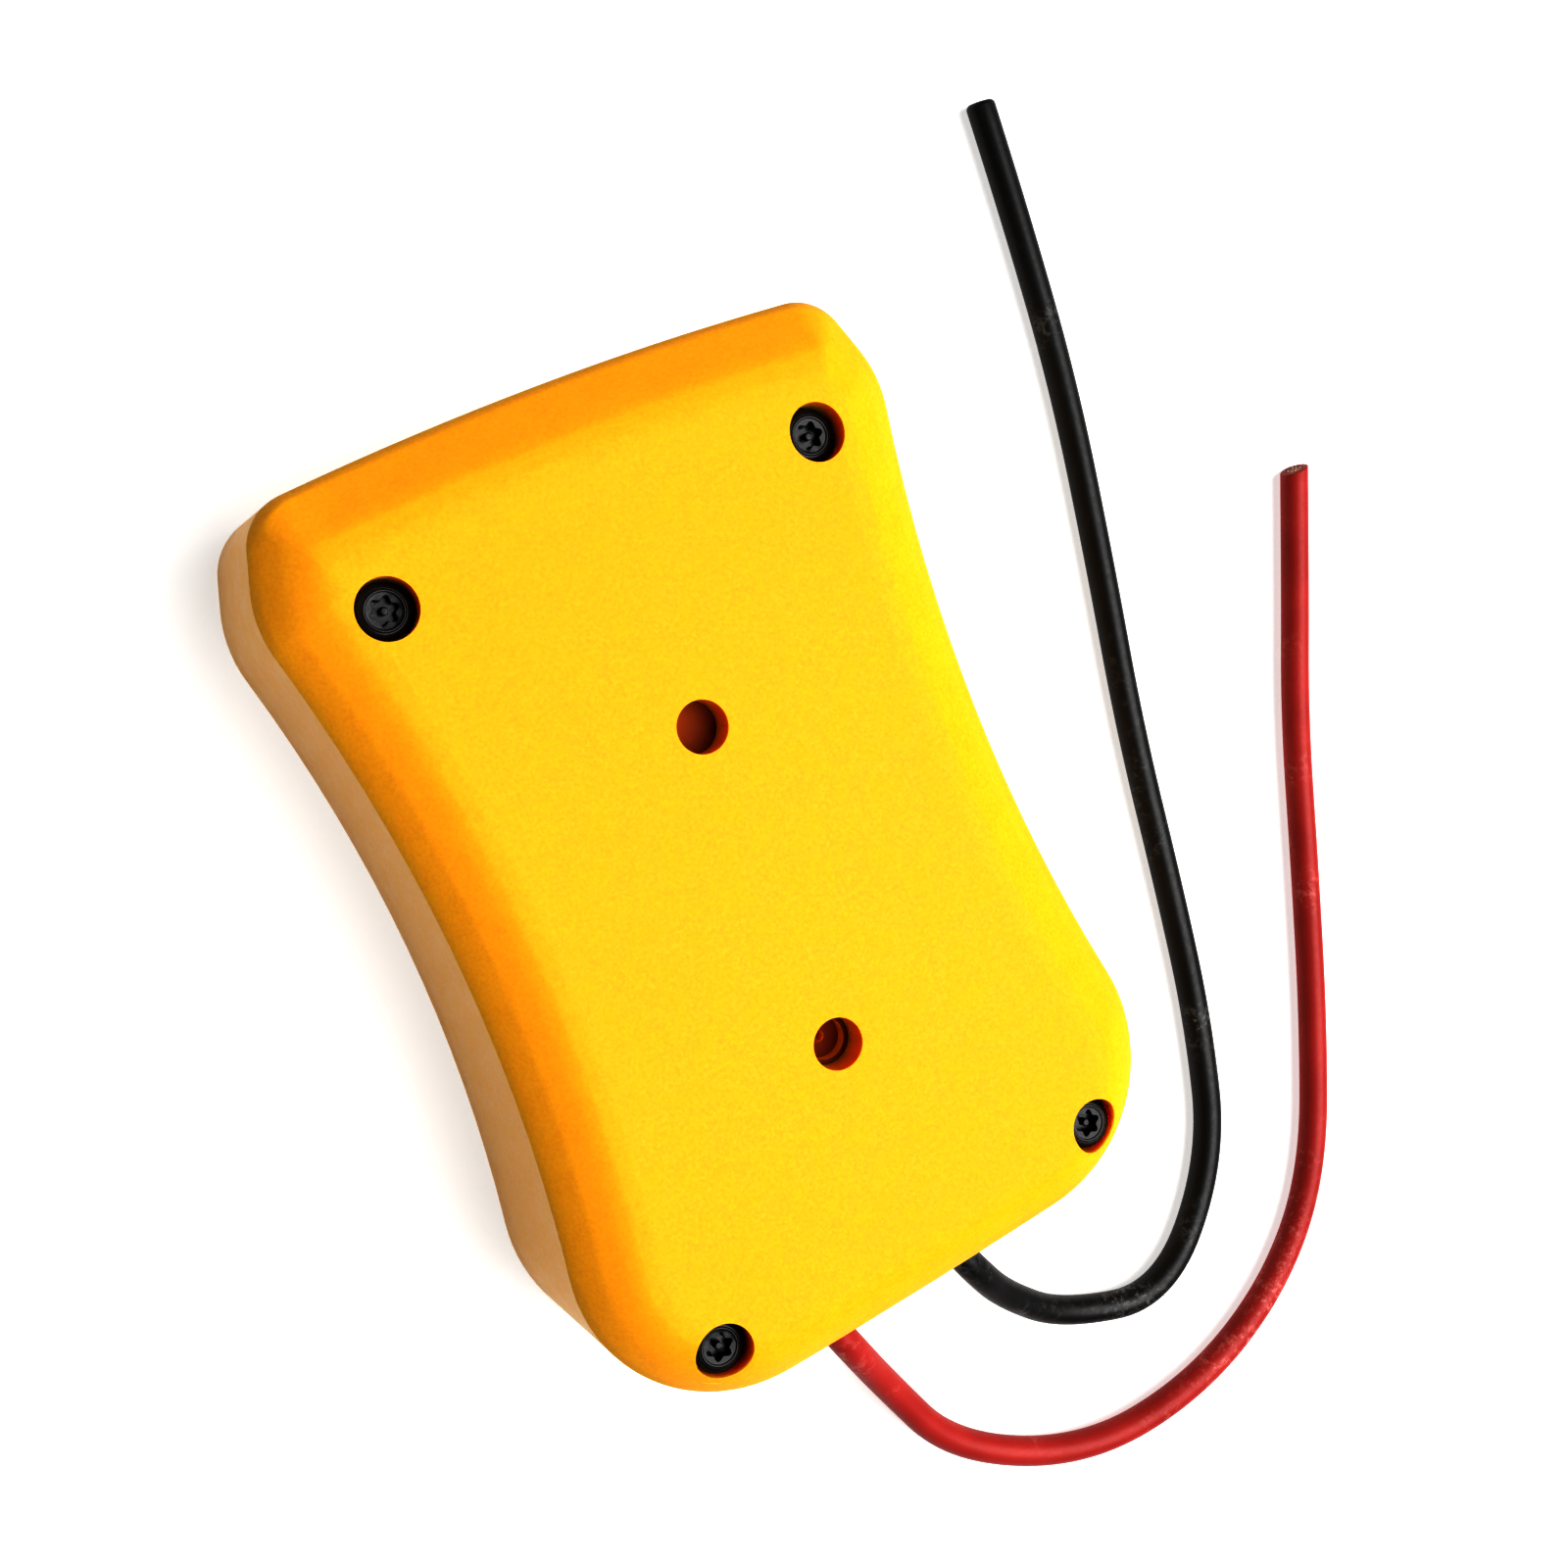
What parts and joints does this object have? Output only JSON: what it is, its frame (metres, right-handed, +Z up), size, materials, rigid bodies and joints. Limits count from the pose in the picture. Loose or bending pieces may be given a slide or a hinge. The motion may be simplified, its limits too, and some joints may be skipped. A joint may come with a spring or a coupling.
{
  "type": "slide-on battery adapter",
  "caption": "Waisted plastic dock that a slide-type tool battery pushes into; screwed shells, mounting holes on top, and two free wires that carry the battery's power out of one end.",
  "frame": {"origin": "middle of the housing's footprint, on the surface that it stands on; the free wires aren't counted", "axes": "+X across the housing, +Y along it towards the battery's end, +Z up towards the mounting face"},
  "size_m": [0.1329, 0.159, 0.028],
  "materials": {
    "yellow_cover": "moulded, finely textured",
    "yellow_base": "moulded, finely textured",
    "black_screws": "black coated steel",
    "black_nylon": "moulded nylon",
    "contact_brass": "stamped",
    "copper_strands": "stranded",
    "solder": "dull solder",
    "shrink_sleeve": "shrunk tube",
    "steel_screws": "plated",
    "black_silicone": "satin silicone",
    "red_silicone": "satin silicone"
  },
  "bodies": {
    "root": {"top_cover": "yellow_cover", "base_frame": "yellow_base", "case_screw_far_left": "black_screws", "case_screw_far_right": "black_screws", "case_screw_near_left": "black_screws", "case_screw_near_right": "black_screws", "terminal_block": "black_nylon", "blade_positive": "contact_brass", "blade_negative": "contact_brass", "blade_thermistor": "contact_brass", "blade_identity": "contact_brass", "red_lead": "red_silicone", "black_lead": "black_silicone", "red_strands": "copper_strands", "black_strands": "copper_strands", "red_solder": "solder", "black_solder": "solder", "red_sleeve": "shrink_sleeve", "black_sleeve": "shrink_sleeve", "wire_clamp": "black_nylon", "clamp_screw_left": "steel_screws", "clamp_screw_right": "steel_screws", "terminal_screw_left": "steel_screws", "terminal_screw_right": "steel_screws", "black_wire": "black_silicone", "red_wire": "red_silicone"}
  },
  "joints": []
}
